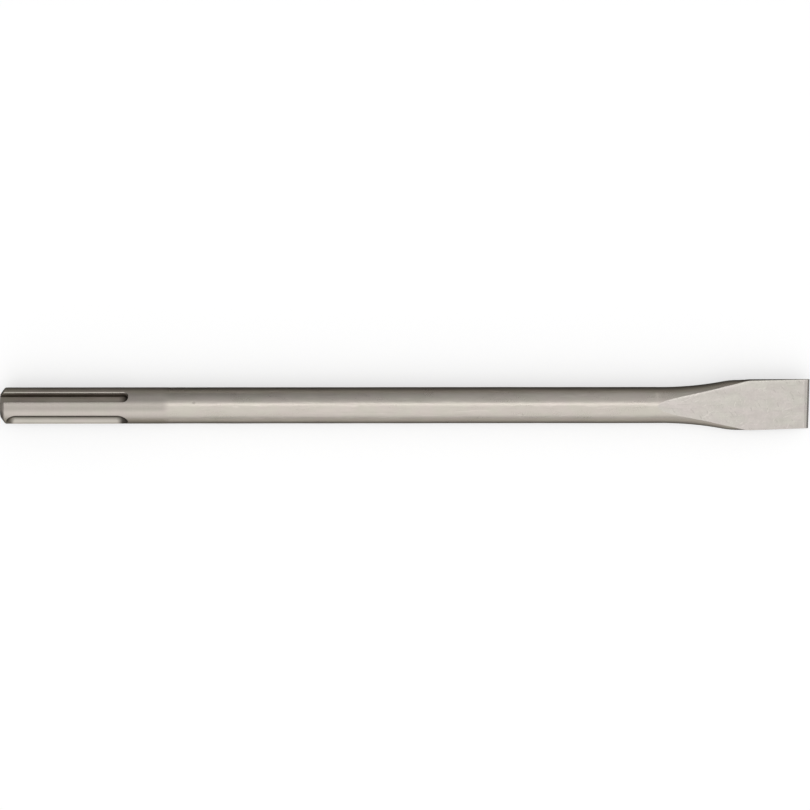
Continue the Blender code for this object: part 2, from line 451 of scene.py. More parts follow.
@dataclass(frozen=True)
class SteelFinish:
    """A bare steel surface as one way of working leaves it, in some finishes with painted shade or
    painted highlights in its colour.
    """

    light: Colour
    dark: Colour
    roughness: Pair
    patch: Size = mm(16, 9, 9)
    grain: Size = mm(0.35, 0.35, 0.35)
    grain_depth: float = 0.003 * MM
    peel: Size | None = None
    peel_depth: float = 0.0
    streaks: tuple[Streaks, ...] = ()
    pit_spacing: float = 0.0
    tone_bands: tuple[ToneBand, ...] = ()
    patch_noise: Pair = (5.0, 0.62)
    patch_range: Pair = (0.32, 0.68)
    patch_tone: float = 0.65
    grain_noise: Pair = (3.0, 0.6)
    grain_range: Pair = (0.3, 0.7)
    rough_range: Pair = (0.3, 1.5)
    peel_detail: float = 2.0
    pit_chance: Pair = (0.4, 1.0)
    pit_reach: Pair = (-0.05, 0.16)
    pit_edge: float = 0.06
    pit_shade: float = 0.8
    pit_rough: float = 0.15
    pit_depth: float = 0.03 * MM
    hue_patch: Size = mm(11, 6, 6)
    hue_range: Pair = (0.35, 0.65)
    rosy: Colour = (1.012, 0.99, 1.0)
    olive: Colour = (0.99, 1.004, 0.98)

    def pits(self, shader: Shader) -> Socket:
        """Scatters small pits of different sizes.

        Args:
            shader: The material that takes the nodes.

        Returns:
            A socket that is 1 in a pit and 0 beside it.
        """
        place = shader.stretched((self.pit_spacing,) * 3)
        cells = shader.add("ShaderNodeTexVoronoi", Vector=place, Scale=1.0)
        chance = shader.add("ShaderNodeSeparateColor", Color=cells.outputs["Color"]).outputs[0]
        reach = shader.spread(chance, self.pit_chance, self.pit_reach)
        inside = shader.math("SUBTRACT", reach, cells.outputs["Distance"])
        return shader.spread(inside, (0, self.pit_edge))

    def layers(self, shader: Shader) -> tuple[Socket, ...]:
        """Builds the finish inside a material.

        Args:
            shader: The material that takes the nodes.

        Returns:
            The sockets of the colour, the roughness and the height in metres.
        """
        patches = shader.spread(shader.noise(self.patch, *self.patch_noise), self.patch_range)
        grain = shader.noise(self.grain, *self.grain_noise)
        tone = shader.spread(grain, self.grain_range, (0, 1 - self.patch_tone))
        tone = shader.plus(tone, patches, self.patch_tone)
        rough = shader.spread(shader.math("ADD", patches, grain), self.rough_range, self.roughness)
        height = shader.math("MULTIPLY", grain, self.grain_depth)
        if self.peel is not None:
            height = shader.plus(height, shader.noise(self.peel, self.peel_detail), self.peel_depth)
        for streaks in self.streaks:
            mask = streaks.mask(shader)
            tone = shader.plus(tone, mask, -streaks.shade)
            height = shader.plus(height, mask, -streaks.depth)
        if self.pit_spacing:
            mask = self.pits(shader)
            tone = shader.plus(tone, mask, -self.pit_shade)
            rough = shader.plus(rough, mask, self.pit_rough)
            height = shader.plus(height, mask, -self.pit_depth)
        colour = shader.blend(tone, self.dark, self.light)
        hue = shader.spread(shader.noise(self.hue_patch, detail=1), self.hue_range)
        colour = shader.blend(1.0, colour, shader.blend(hue, self.rosy, self.olive), "MULTIPLY")
        for band in self.tone_bands:
            colour = band.shade(shader, colour)
        return colour, rough, height


@dataclass(frozen=True)
class SteelSkin:
    """The skin of a stretch of the chisel: one finish, which may pass softly into another."""

    name: str
    finish: SteelFinish
    later: SteelFinish | None = None
    passes: Pair = (0.0, 1.0)
    way: Way = Way.ALONG
    raggedness: float = 2.0 * MM
    edge: Size = mm(9, 3, 3)
    edge_detail: float = 2.0

    def material(self) -> bpy.types.Material:
        """Builds the skin's material.

        Returns:
            The material.
        """
        shader = Shader(self.name)
        colour, rough, height = self.finish.layers(shader)
        if self.later is not None:
            colour_later, rough_later, height_later = self.later.layers(shader)
            place = shader.measure(self.way)
            place = shader.ragged(place, self.edge, self.edge_detail, self.raggedness)
            share = shader.spread(place, self.passes)
            colour = shader.blend(share, colour, colour_later)
            rough = shader.between(share, rough, rough_later)
            height = shader.between(share, height, height_later)
        relief = shader.add("ShaderNodeBump", Strength=1.0, Distance=1.0, Height=height)
        return shader.paint({
            "Base Color": colour, "Roughness": rough, "Normal": relief.outputs["Normal"],
            "Metallic": 1.0})


@dataclass(frozen=True)
class Bar:
    """The round bar, with the turned chamfer at its striking end."""

    radius: float
    chamfer_length: float = 2.2 * MM
    chamfer_height: float = 2.9 * MM
    chamfer_corner: float = 1.2 * MM
    corner_steps: int = 8
    ring_gap: float = 1.4 * MM

    def outline(self, end: float) -> list[Vector]:
        """Draws the bar's outline from the middle of the striking face.

        Args:
            end: Where the bar's plain stretch ends.

        Returns:
            Points of place along the bar and radius there.
        """
        inner = Vector((0, self.radius - self.chamfer_height))
        outer = Vector((self.chamfer_length, self.radius))
        last = Vector((end, self.radius))
        corners = (Vector((0, 0)), inner, outer, last)
        points = []
        for trio in zip(corners, corners[1:], corners[2:]):
            points += rounded_corner(*trio, self.chamfer_corner, self.corner_steps)
        start = points[-1].x
        count = math.ceil((end - start) / self.ring_gap)
        for step in range(1, count + 1):
            points.append(Vector((start + (end - start) * step / count, self.radius)))
        return points


@dataclass(frozen=True)
class Forging:
    """The slight unevenness that the hammer and the blasting leave behind the turned shank."""

    start: float = 79 * MM
    full: float = 84 * MM
    calm_length: float = 4 * MM
    bar_depth: float = 0.07 * MM
    flat_depth: float = 0.05 * MM
    waves_per_metre: Size = (38, 95, 95)
    ripples_per_metre: Size = (130, 260, 260)
    ripple_share: float = 0.3
    swing: float = 0.8

    def sunk(self, place: Vector) -> float:
        """Tells how deep the waves of the forging lie at a place.

        Args:
            place: A point of the smooth surface.

        Returns:
            A depth from 0 to about 1.
        """
        wave, ripple = (
            noise.noise(Vector(a * b for a, b in zip(place, pace)))
            for pace in (self.waves_per_metre, self.ripples_per_metre))
        return min(max(0.5 + self.swing * (wave + self.ripple_share * ripple), 0.0), 1.0)


@dataclass(frozen=True)
class Blade:
    """The wedge that the bar is forged out to: its outline, its flats and its cutting bevels."""

    tip: float
    radius: float
    length: float = 35.5 * MM
    shoulder_width: float = 24.8 * MM
    edge_width: float = 24.4 * MM
    flare_radius: float = 160 * MM
    shoulder_radius: float = 40 * MM
    squareness: float = 6.0
    flank_lead: float = 4.5 * MM
    flank_blend: float = 11 * MM
    flat_length: float = 75.7 * MM
    wedge_thickness: float = 1.4 * MM
    bevel_length: float = 1.0 * MM
    edge_thickness: float = 0.3 * MM
    crease_radius: float = 0.35 * MM
    thickest_crease: float = 0.8
    roll_width: float = 0.8 * MM
    roll_fall: float = math.radians(7)
    roll_share: float = 0.4
    full_roll: float = 5.0
    crease_share: float = 0.3
    lean: float = 0.6 * MM
    slant: float = math.radians(1.0)
    flat_points: int = 12
    crease_points: int = 7
    flank_points: int = 17
    tangent_angle: float = math.radians(1)
    section_counts: tuple[int, int, int] = (44, 78, 3)
    crowding: float = 1.5

    @property
    def shoulder(self) -> float:
        """Gives the place of the shoulder along the bar."""
        return self.tip - self.length

    @property
    def flare_turn(self) -> float:
        """Gives the angle that the hollow curve turns through before the shoulder turns it back."""
        rise = self.shoulder_width / 2 - self.radius
        return math.acos(1 - rise / (self.flare_radius + self.shoulder_radius))

    @property
    def flare_start(self) -> float:
        """Gives the place along the bar where its sides begin to spread."""
        radii = self.flare_radius + self.shoulder_radius
        return self.shoulder - radii * math.sin(self.flare_turn)

    @property
    def flat_rise(self) -> float:
        """Gives how steeply each flat climbs from the edge towards the bar."""
        return (self.radius - self.wedge_thickness / 2) / self.flat_length

    @property
    def flat_start(self) -> float:
        """Gives the place where the flats come out of the topmost and lowest lines of the bar."""
        return self.tip - self.flat_length

    def half_width(self, x: float) -> float:
        """Measures from the middle line to the side of the chisel.

        Args:
            x: The place along the bar.

        Returns:
            Half the width there.
        """
        if x <= self.flare_start:
            return self.radius
        if x <= self.flare_start + self.flare_radius * math.sin(self.flare_turn):
            across = math.sqrt(self.flare_radius ** 2 - (x - self.flare_start) ** 2)
            return self.radius + self.flare_radius - across
        if x <= self.shoulder:
            across = math.sqrt(self.shoulder_radius ** 2 - (self.shoulder - x) ** 2)
            return self.shoulder_width / 2 - (self.shoulder_radius - across)
        along = (x - self.shoulder) / self.length
        return (self.shoulder_width + (self.edge_width - self.shoulder_width) * along) / 2

    def exponent(self, x: float) -> float:
        """Shapes the section at a place: 2 is an oval, and more brings the sides upright."""
        blend = min(max((x - self.shoulder + self.flank_lead) / self.flank_blend, 0.0), 1.0)
        return 2 / (1 - (1 - 2 / self.squareness) * blend ** 2)

    def flat_height(self, x: float) -> float:
        """Measures from the middle plane up to the flat, with the cutting bevel at its end.

        Args:
            x: The place along the bar.

        Returns:
            The height there.
        """
        from_edge = self.tip - x
        if from_edge >= self.bevel_length:
            return self.wedge_thickness / 2 + from_edge * self.flat_rise
        edge = self.edge_thickness / 2
        root = self.wedge_thickness / 2 + self.bevel_length * self.flat_rise
        return edge + (root - edge) * from_edge / self.bevel_length

    def flank_point(self, width: float, exponent: float, angle: float) -> Vector:
        """Finds a point of the rounded flank, where angle grows from 0 at the side to the top."""
        up = math.sin(angle)
        return Vector((width * max(1 - up ** exponent, 0.0) ** (1 / exponent), self.radius * up))

    def quarter(self, x: float) -> list[Vector]:
        """Draws a quarter of the section where the chisel has flats.

        Args:
            x: The place along the bar.

        Returns:
            Points from the middle of the flat, over its rolled edge and its crease, to the side.
        """
        width = self.half_width(x)
        exponent = self.exponent(x)
        flat = self.flat_height(x)
        crease_angle = math.asin(min(flat / self.radius, 1.0))
        crease = self.flank_point(width, exponent, crease_angle)
        roll = min(self.roll_width, crease.x * self.roll_share)
        fall = self.roll_fall * min(crease.x / (self.full_roll * self.roll_width), 1.0)
        fall *= smooth_step(0, self.bevel_length, self.tip - x)
        rolled = crease - Vector((0, roll * math.tan(fall)))
        lower = max(crease_angle - self.tangent_angle, 0.0)
        below = self.flank_point(width, exponent, lower) + rolled - crease
        start = Vector((crease.x - roll, flat))
        radius = min(
            self.crease_radius, flat * self.thickest_crease,
            crease.x * self.crease_share + SAME_POINT)
        arc = rounded_corner(start, rolled, below, radius, self.crease_points - 1)
        inner = self.flat_points - 2
        points = [Vector((start.x * step / inner, flat)) for step in range(inner + 1)]
        points.append((start + arc[0]) / 2)
        last = math.asin(min(max(arc[-1].y / self.radius, 0.0), 1.0))
        shift = arc[-1] - self.flank_point(width, exponent, last)
        flank = []
        for step in range(1, self.flank_points + 1):
            share = 1 - step / self.flank_points
            flank.append(self.flank_point(width, exponent, last * share) + shift * share)
        return points + arc + flank

    def stations(self) -> list[float]:
        """Places the sections, close together where the flats begin and at the edge.

        Returns:
            Places along the bar.
        """
        dense_from = self.shoulder - 2 * self.flank_lead
        bounds = (self.flat_start, dense_from, self.tip - self.bevel_length, self.tip)
        legs = zip(bounds, bounds[1:], self.section_counts, (self.crowding, 1, 1))
        return [
            start + (end - start) * (step / count) ** crowding
            for start, end, count, crowding in legs for step in range(1, count + 1)]


@dataclass(frozen=True)
class DriveGrooves:
    """The three grooves, open at the striking end, that the hammer's keys turn the chisel by."""

    radius: float
    length: float = 63.5 * MM
    width: float = 5.0 * MM
    depth: float = 3.6 * MM
    draft: float = math.radians(8)
    floor_radius: float = 0.3 * MM
    rim_radius: float = 0.8 * MM
    rim_break: float = math.radians(12)
    clearance: float = 1.5 * MM
    angle: float = math.radians(34)
    pair_spread: float = math.radians(35)
    corner_steps: int = 7
    end_steps: int = 28
    meeting_steps: int = 4

    @property
    def angles(self) -> tuple[float, float, float]:
        """Gives the turn of each groove round the bar, from +Z towards +Y."""
        opposite = self.angle + math.pi
        return self.angle, opposite - self.pair_spread, opposite + self.pair_spread

    def profile(self, across: float) -> list[Vector]:
        """Draws half the section of the groove, square to its rim.

        Args:
            across: The share of the section's direction that runs round the bar, which is 1 beside
                the groove and 0 at the tip of its round end. The rim follows the bar between them.

        Returns:
            Points of distance from the groove's middle line and height above the bar's axis.
        """
        floor = self.radius - self.depth
        side = self.width / 2
        side_height = math.sqrt(self.radius ** 2 - side ** 2)
        corner = Vector((side - (side_height - floor) * math.tan(self.draft), floor))
        reach = side
        for _ in range(self.meeting_steps):
            rim_height = math.sqrt(self.radius ** 2 - (reach * across) ** 2)
            reach = side + (rim_height - side_height) * math.tan(self.draft)
        rim = Vector((reach, rim_height))
        fall = math.atan(reach * across ** 2 / rim_height) - self.rim_break
        clear = rim + Vector((math.cos(fall), -math.sin(fall))) * (self.rim_radius + self.clearance)
        top = self.radius + self.clearance
        points = [Vector((0, floor)), Vector((corner.x / 2, floor))]
        points += rounded_corner(points[0], corner, rim, self.floor_radius, self.corner_steps)
        points += rounded_corner(corner, rim, clear, self.rim_radius, self.corner_steps)
        return points + [clear, Vector((clear.x, top)), Vector((0, top))]

    def zone_of(self, step: int) -> Zone:
        """Tells which finish a strip of the groove has.

        Args:
            step: The strip's number in the profile, from the middle of the floor.

        Returns:
            The zone.
        """
        floor_strips = 2
        if step < floor_strips:
            return Zone.MILLED
        return Zone.WALL if step <= floor_strips + self.corner_steps else Zone.RIM

    def cutter(self) -> bmesh.types.BMesh:
        """Sweeps the section along one side, round the end and back along the other side.

        Returns:
            The closed mesh of what the groove takes out, along the top of the bar.
        """
        end_x = self.length - self.width / 2
        quarter = math.pi / 2
        path = [(-self.clearance, -quarter), (end_x / 2, -quarter)]
        path += [
            (end_x, math.pi * (step / self.end_steps - 0.5)) for step in range(self.end_steps + 1)]
        path += [(end_x / 2, quarter), (-self.clearance, quarter)]
        bm = bmesh.new()
        rows = [
            [bm.verts.new((x + out * math.cos(turn), out * math.sin(turn), up))
             for out, up in self.profile(math.sin(turn))]
            for x, turn in path]
        for row, following in zip(rows, rows[1:]):
            for step in range(len(row) - 1):
                corners = (row[step], following[step], following[step + 1], row[step + 1])
                bm.faces.new(corners).material_index = self.zone_of(step).value
        bmesh.ops.remove_doubles(bm, verts=bm.verts, dist=SAME_POINT)
        bmesh.ops.holes_fill(bm, edges=bm.edges)
        clean_up(bm)
        return bm


@dataclass(frozen=True)
class LockingPockets:
    """The two closed pockets, cut with a ball-nosed tool, that the hammer holds the chisel by."""

    radius: float
    start: float = 3.3 * MM
    end: float = 63.0 * MM
    tool_radius: float = 5.25 * MM
    depth: float = 2.75 * MM
    angles: tuple[float, float] = (math.radians(-56), math.radians(124))
    sides: int = 96
    ball_steps: int = 18
    break_width: float = 0.22 * MM
    break_radius: float = 8.0 * MM

    @property
    def axis_height(self) -> float:
        """Gives the height of the tool's axis above the bar's axis."""
        return self.radius - self.depth + self.tool_radius

    @property
    def half_angle(self) -> float:
        """Gives how far round the bar a pocket's rim lies from its middle."""
        squares = self.radius ** 2 + self.axis_height ** 2 - self.tool_radius ** 2
        return math.acos(squares / (2 * self.radius * self.axis_height))

    def rims(self) -> "LockingPockets":
        """Describes the wider, shallower cut that breaks the sharp rims.

        Returns:
            Pockets that cut nothing but a strip along the rims.
        """
        along = self.radius * math.cos(self.half_angle + self.break_width / self.radius)
        axis_height = along + math.sqrt(along ** 2 - self.radius ** 2 + self.break_radius ** 2)
        return replace(
            self, start=self.start - self.break_width, end=self.end + self.break_width,
            tool_radius=self.break_radius, depth=self.radius + self.break_radius - axis_height)

    def cutter(self) -> bmesh.types.BMesh:
        """Turns the outline of a round bar with ball ends.

        Returns:
            The closed mesh of what the pocket takes out, along the top of the bar.
        """
        run_out = math.sqrt(self.tool_radius ** 2 - (self.axis_height - self.radius) ** 2)
        bm = bmesh.new()
        points = []
        for centre, first in ((self.start + run_out, math.pi), (self.end - run_out, math.pi / 2)):
            for step in range(self.ball_steps + 1):
                turn = first - math.pi / 2 * step / self.ball_steps
                ahead, out = (self.tool_radius * part for part in (math.cos(turn), math.sin(turn)))
                points.append(bm.verts.new((centre + ahead, 0, self.axis_height + out)))
        edges = [bm.edges.new(pair) for pair in zip(points, points[1:])]
        bmesh.ops.spin(
            bm, geom=points + edges, cent=(0, 0, self.axis_height), axis=(1, 0, 0),
            angle=2 * math.pi, steps=self.sides, use_duplicate=False)
        clean_up(bm)
        for face in bm.faces:
            face.material_index = Zone.POCKET.value
        return bm


TURNED_STEEL = SteelFinish(
    light=(0.60, 0.559, 0.508), dark=(0.515, 0.478, 0.432), roughness=(0.33, 0.41),
    grain=mm(0.3, 0.9, 0.9), streaks=(
        Streaks(size=mm(0.25, 60, 60), depth=0.0015 * MM, shade=0.2, cut=(0.35, 0.55)),
        Streaks(size=mm(14, 0.4, 0.4), depth=0.004 * MM, shade=0.6, cut=(0.27, 0.34))),
    tone_bands=(
        # Painted shade: a darker band along the shank's middle line, and a darker side towards -Y.
        ToneBand(
            Way.ACROSS, mm(3.9, 2.1), keep=0.77, raggedness=0.4 * MM, tint=NEUTRAL,
            about=1.2 * MM),
        ToneBand(Way.ACROSS, mm(-5.2, -7.0), keep=0.74)))
BLASTED_STEEL = SteelFinish(
    light=(0.595, 0.553, 0.502), dark=(0.495, 0.459, 0.413), roughness=(0.25, 0.33),
    patch=mm(20, 6, 6), grain_depth=0.009 * MM, peel=mm(7, 2.8, 2.8), peel_depth=0.055 * MM,
    pit_spacing=6 * MM, streaks=(
        Streaks(size=mm(24, 0.8, 0.8), depth=0.006 * MM, shade=0.5, cut=(0.28, 0.40)),
        Streaks(size=mm(12, 1.3, 1.3), depth=0.008 * MM, shade=-0.9, cut=(0.30, 0.38))))
FLAT_SCRATCHES = tuple(
    Streaks(
        size=mm(length, width, length), depth=depth * MM, shade=shade, cut=(0.33, 0.37),
        turn=math.radians(turn), patch=patch * MM)
    for length, width, depth, shade, turn, patch in (
        (5, 0.9, 0.012, -1.6, 24, 9), (4, 0.9, 0.014, 1.4, -52, 7),
        (2.5, 0.8, 0.012, -1.6, 80, 6)))
FLAT_STEEL = SteelFinish(
    light=(0.655, 0.618, 0.577), dark=(0.512, 0.481, 0.446), roughness=(0.29, 0.40),
    patch=mm(7, 4, 7), grain=mm(0.9, 0.9, 0.9), grain_depth=0.014 * MM, peel=mm(3, 2.2, 3),
    peel_depth=0.024 * MM, pit_spacing=4 * MM, streaks=(
        Streaks(size=mm(18, 0.5, 18), depth=0.006 * MM, shade=0.6, cut=(0.27, 0.36)),
        *FLAT_SCRATCHES),
    tone_bands=(ToneBand(Way.ALONG, mm(397.4, 397.9), keep=0.84, tint=NEUTRAL),))
# The groove floor's darker colour is partly painted shade, and its band is painted shade that
# darkens the floor towards the groove's closed end.
MILLED_PAINTED_SHADE_STEEL = SteelFinish(
    light=(0.48, 0.435, 0.385), dark=(0.37, 0.33, 0.285), roughness=(0.30, 0.40),
    streaks=(Streaks(depth=0.004 * MM, shade=0.4),),
    tone_bands=(ToneBand(Way.ALONG, mm(58.8, 62.4), keep=0.16, raggedness=1.0 * MM),))
# The pocket's bands are painted shade: they darken the pocket next to its upper rim, by its lower
# rim and at both round ends.
POCKET_STEEL = SteelFinish(
    light=(0.57, 0.53, 0.483), dark=(0.475, 0.441, 0.399), roughness=(0.26, 0.34),
    streaks=(Streaks(depth=0.003 * MM, shade=0.35),), tone_bands=(
        ToneBand(Way.ACROSS, mm(6.2, 5.0), keep=0.16, raggedness=0.1 * MM, about=0.0),
        ToneBand(Way.ACROSS, mm(7.9, 8.9), keep=0.70, about=0.0),
        ToneBand(Way.ALONG, mm(57.3, 60.2), keep=0.20, raggedness=1.0 * MM),
        ToneBand(Way.ALONG, mm(6.6, 4.6), keep=0.50, raggedness=1.0 * MM)))
# Painted shade: the groove walls are nearly black deep in the groove and lighter near the rim,
# where the next finish takes over.
PAINTED_SHADE_WALL_STEEL = SteelFinish(
    light=(0.10, 0.086, 0.070), dark=(0.04, 0.033, 0.026), roughness=(0.34, 0.44),
    grain_depth=0.004 * MM, streaks=(Streaks(depth=0.003 * MM, shade=0.25),))
OUTER_WALL_STEEL = SteelFinish(
    light=(0.50, 0.46, 0.415), dark=(0.38, 0.345, 0.305), roughness=(0.34, 0.44),
    grain_depth=0.004 * MM)
# Where the rim turns round the groove's closed end, its bands paint a darker strip of shade and
# then a painted highlight on the farthest part.
RIM_STEEL = SteelFinish(
    light=(0.49, 0.456, 0.415), dark=(0.41, 0.381, 0.346), roughness=(0.28, 0.36),
    grain_depth=0.004 * MM, tone_bands=(
        ToneBand(Way.ALONG, mm(62.5, 63.0), keep=0.5, tint=NEUTRAL),
        ToneBand(Way.ALONG, mm(63.4, 63.8), keep=3.0, tint=NEUTRAL)))
# The creases' light colour is partly wear and partly a painted highlight along the rolled edges of
# the flats.
CREASE_STEEL = SteelFinish(
    light=(0.76, 0.725, 0.68), dark=(0.58, 0.55, 0.51), roughness=(0.24, 0.32),
    patch=mm(4, 2, 2))
GROUND_STEEL = SteelFinish(
    light=(0.60, 0.57, 0.535), dark=(0.50, 0.475, 0.445), roughness=(0.18, 0.26),
    grain_depth=0.002 * MM,
    streaks=(Streaks(size=mm(4, 0.2, 4), depth=0.002 * MM, shade=0.2, cut=(0.35, 0.5)),))
FACED_STEEL = SteelFinish(
    light=(0.60, 0.563, 0.517), dark=(0.47, 0.439, 0.40), roughness=(0.30, 0.40),
    patch=mm(5, 4, 4), grain_depth=0.004 * MM, pit_spacing=2.5 * MM, streaks=(Streaks(
        size=mm(0.3, 0.3, 0.3), depth=0.003 * MM, shade=0.3, cut=(0.35, 0.55), rings=True),))
SKINS = {
    Zone.FACE: SteelSkin("faced_end", FACED_STEEL),
    Zone.BAR: SteelSkin(
        "turned_and_blasted_bar_painted_shade", TURNED_STEEL, later=BLASTED_STEEL, passes=mm(80.6, 84.0)),
    Zone.MILLED: SteelSkin("milled_groove_floor_painted_shade", MILLED_PAINTED_SHADE_STEEL),
    # The groove walls carry painted shade, deepest near the groove floor.
    Zone.WALL: SteelSkin(
        "groove_wall_painted_shade", PAINTED_SHADE_WALL_STEEL, later=OUTER_WALL_STEEL, passes=mm(6.6, 8.3),
        way=Way.OUTWARD, raggedness=0.3 * MM),
    Zone.RIM: SteelSkin("groove_rim_painted_shade_and_highlight", RIM_STEEL),
    Zone.FLAT: SteelSkin("forged_flat", FLAT_STEEL),
    Zone.GROUND: SteelSkin("ground_bevel", GROUND_STEEL),
    Zone.POCKET: SteelSkin("ground_pocket_painted_shade", POCKET_STEEL),
    Zone.CREASE: SteelSkin("worn_crease_painted_highlight", CREASE_STEEL)}


@dataclass
class Chisel:
    """The whole tool: one solid, with its fine shape and its finishes."""

    bar: Bar
    blade: Blade
    grooves: DriveGrooves
    pockets: LockingPockets
    box: tuple[Vector, Vector]
    forging: Forging = Forging()
    gather: float = 14 * MM
    sharp_angle: float = math.radians(24)

    def round_quarter(self, radius: float, gathered: float) -> list[Vector]:
        """Draws a quarter of a round section.

        Args:
            radius: The section's radius.
            gathered: 0 for even points, and 1 for points that lie as they do where the flats begin.

        Returns:
            Points from the top to the side.
        """
        ready = self.blade.quarter(self.blade.stations()[0])
        count = len(ready) - 1
        points = []
        for step, there in enumerate(ready):
            even = math.pi / 2 * (1 - step / count)
            angle = even + (math.atan2(there.y, there.x) - even) * gathered
            points.append(Vector((radius * math.cos(angle), radius * math.sin(angle))))
        return points

    def placed(self, x: float, across: float, up: float) -> Vector:
        """Puts a point of a section into the blade that leans and slants, with the forging's waves.

        Args:
            x: The place along the bar.
            across: The point's place across the blade.
            up: The point's height.

        Returns:
            The point in the frame of the part.
        """
        forging = self.forging
        worn = smooth_step(forging.start, forging.full, x)
        worn *= smooth_step(0, forging.calm_length, self.blade.tip - x)
        if worn:
            sunk = forging.sunk(Vector((x, across, up))) * worn
            share = smooth_step(self.blade.flat_start, self.blade.flat_start + self.gather, x)
            depth = sunk * (forging.bar_depth + (forging.flat_depth - forging.bar_depth) * share)
            reach = math.hypot(across, up)
            inward = Vector((across, up)) / reach
            inward = inward.lerp(Vector((0, math.copysign(1, up) if up else 0.0)), share)
            across -= inward.x * depth
            up -= inward.y * depth
        past = max(x - self.blade.shoulder, 0.0) / self.blade.length
        slant = across * math.tan(self.blade.slant) * past
        return Vector((x + slant, across + self.blade.lean * past, up))

    def ring(
            self, bm: bmesh.types.BMesh, x: float,
            quarter: list[Vector]) -> list[bmesh.types.BMVert]:
        """Mirrors a quarter of a section into a whole ring of points.

        Args:
            bm: The mesh that takes the points.
            x: The place of the section along the bar.
            quarter: Points from the top to the side.

        Returns:
            The ring's points.
        """
        right = [(p.x, p.y) for p in quarter] + [(p.x, -p.y) for p in reversed(quarter[:-1])]
        left = [(-across, up) for across, up in reversed(right[1:-1])]
        return [bm.verts.new(self.placed(x, across, up)) for across, up in right + left]

    def zone_of(self, x: float, step: int, sides: int) -> Zone:
        """Tells which finish a face of the loft has.

        Args:
            x: The place of the face along the bar.
            step: Its number round the section, from the top.
            sides: How many faces the section has.

        Returns:
            The zone.
        """
        blade = self.blade
        if x < self.bar.chamfer_length:
            return Zone.FACE
        half = sides // 2
        from_middle = min(step, sides - 1 - step, abs(step - half), abs(half - 1 - step))
        if x < blade.flat_start or from_middle >= blade.flat_points + blade.crease_points - 1:
            return Zone.BAR
        if x > blade.tip - blade.bevel_length:
            return Zone.GROUND
        return Zone.FLAT if from_middle < blade.flat_points else Zone.CREASE

    def blank(self) -> bpy.types.Object:
        """Lofts the bar, its flare and its blade, before the shank is slotted.

        Returns:
            The lofted piece.
        """
        bm = bmesh.new()
        sections = []
        for x, radius in self.bar.outline(self.blade.flat_start):
            gathered = smooth_step(self.blade.flat_start - self.gather, self.blade.flat_start, x)
            sections.append((x, self.round_quarter(radius, gathered)))
        sections += [(x, self.blade.quarter(x)) for x in self.blade.stations()]
        rings = [self.ring(bm, x, quarter) for x, quarter in sections]
        sides = len(rings[0])
        for number, (ring, following) in enumerate(zip(rings, rings[1:])):
            x = (sections[number][0] + sections[number + 1][0]) / 2
            for step in range(sides):
                nearby = (step + 1) % sides
                side = bm.faces.new((ring[step], ring[nearby], following[nearby], following[step]))
                side.material_index = self.zone_of(x, step, sides).value
        bm.faces.new(rings[0]).material_index = Zone.FACE.value
        bm.faces.new(rings[-1]).material_index = Zone.GROUND.value
        clean_up(bm)
        return new_object("chisel_steel", bm)

    def cutter(self) -> bpy.types.Object:
        """Gathers the cutters of all grooves and pockets in one object.

        Returns:
            The cutter.
        """
        bm = bmesh.new()
        for feature in (self.grooves, self.pockets, self.pockets.rims()):
            for angle in feature.angles:
                one = feature.cutter()
                one.transform(Matrix.Rotation(-angle, 4, "X"))
                mesh = bpy.data.meshes.new("one_cut")
                one.to_mesh(mesh)
                one.free()
                bm.from_mesh(mesh)
                bpy.data.meshes.remove(mesh)
        return new_object("shank_cutter", bm)

    def slot(self, piece: bpy.types.Object) -> None:
        """Cuts the drive grooves and the locking pockets into the shank.

        Args:
            piece: The lofted piece, which is changed.
        """
        cutter = self.cutter()
        skins = [SKINS[zone].material() for zone in Zone]
        for thing in (piece, cutter):
            for material in skins:
                thing.data.materials.append(material)
        cut = piece.modifiers.new("slots", "BOOLEAN")
        cut.operation = "DIFFERENCE"
        cut.solver = "EXACT"
        cut.use_self = True
        cut.object = cutter
        depsgraph = bpy.context.evaluated_depsgraph_get()
        finished = bpy.data.meshes.new_from_object(piece.evaluated_get(depsgraph))
        piece.modifiers.clear()
        piece.data = finished
        bpy.data.objects.remove(cutter)

    def fit(self, piece: bpy.types.Object) -> None:
        """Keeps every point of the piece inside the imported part's box."""
        for vertex in piece.data.vertices:
            vertex.co = [min(max(at, low), high) for at, low, high in zip(vertex.co, *self.box)]

    def build(self) -> None:
        """Makes the whole piece and dresses it."""
        piece = self.blank()
        self.slot(piece)
        self.fit(piece)
        piece.data.shade_smooth()
        piece.data.set_sharp_from_angle(angle=self.sharp_angle)
        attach(piece, BODY)
        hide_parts(NODE)
        log.info("%s: %d faces", piece.name, len(piece.data.polygons))


@dataclass(frozen=True)
class Lamp:
    """A soft panel of light, hung square to the line from the chisel to it."""

    name: str
    lean: float
    width: float
    radiance: float
    length: float = 1.8
    distance: float = 1.2

    def build(self, aim: Vector) -> None:
        """Hangs the panel and turns it to what it lights.

        Args:
            aim: The middle of what it lights.
        """
        data = bpy.data.lights.new(self.name, "AREA")
        data.shape = "RECTANGLE"
        data.size = self.length
        data.size_y = self.width
        data.energy = self.radiance * math.pi * self.width * self.length
        lamp = add_to_scene(self.name, data)
        lamp.location = aim + tipped(self.lean) * self.distance
        lamp.rotation_euler = (-self.lean, 0, 0)
        lamp.visible_camera = False
        log.info("%s: %.1f W", lamp.name, data.energy)


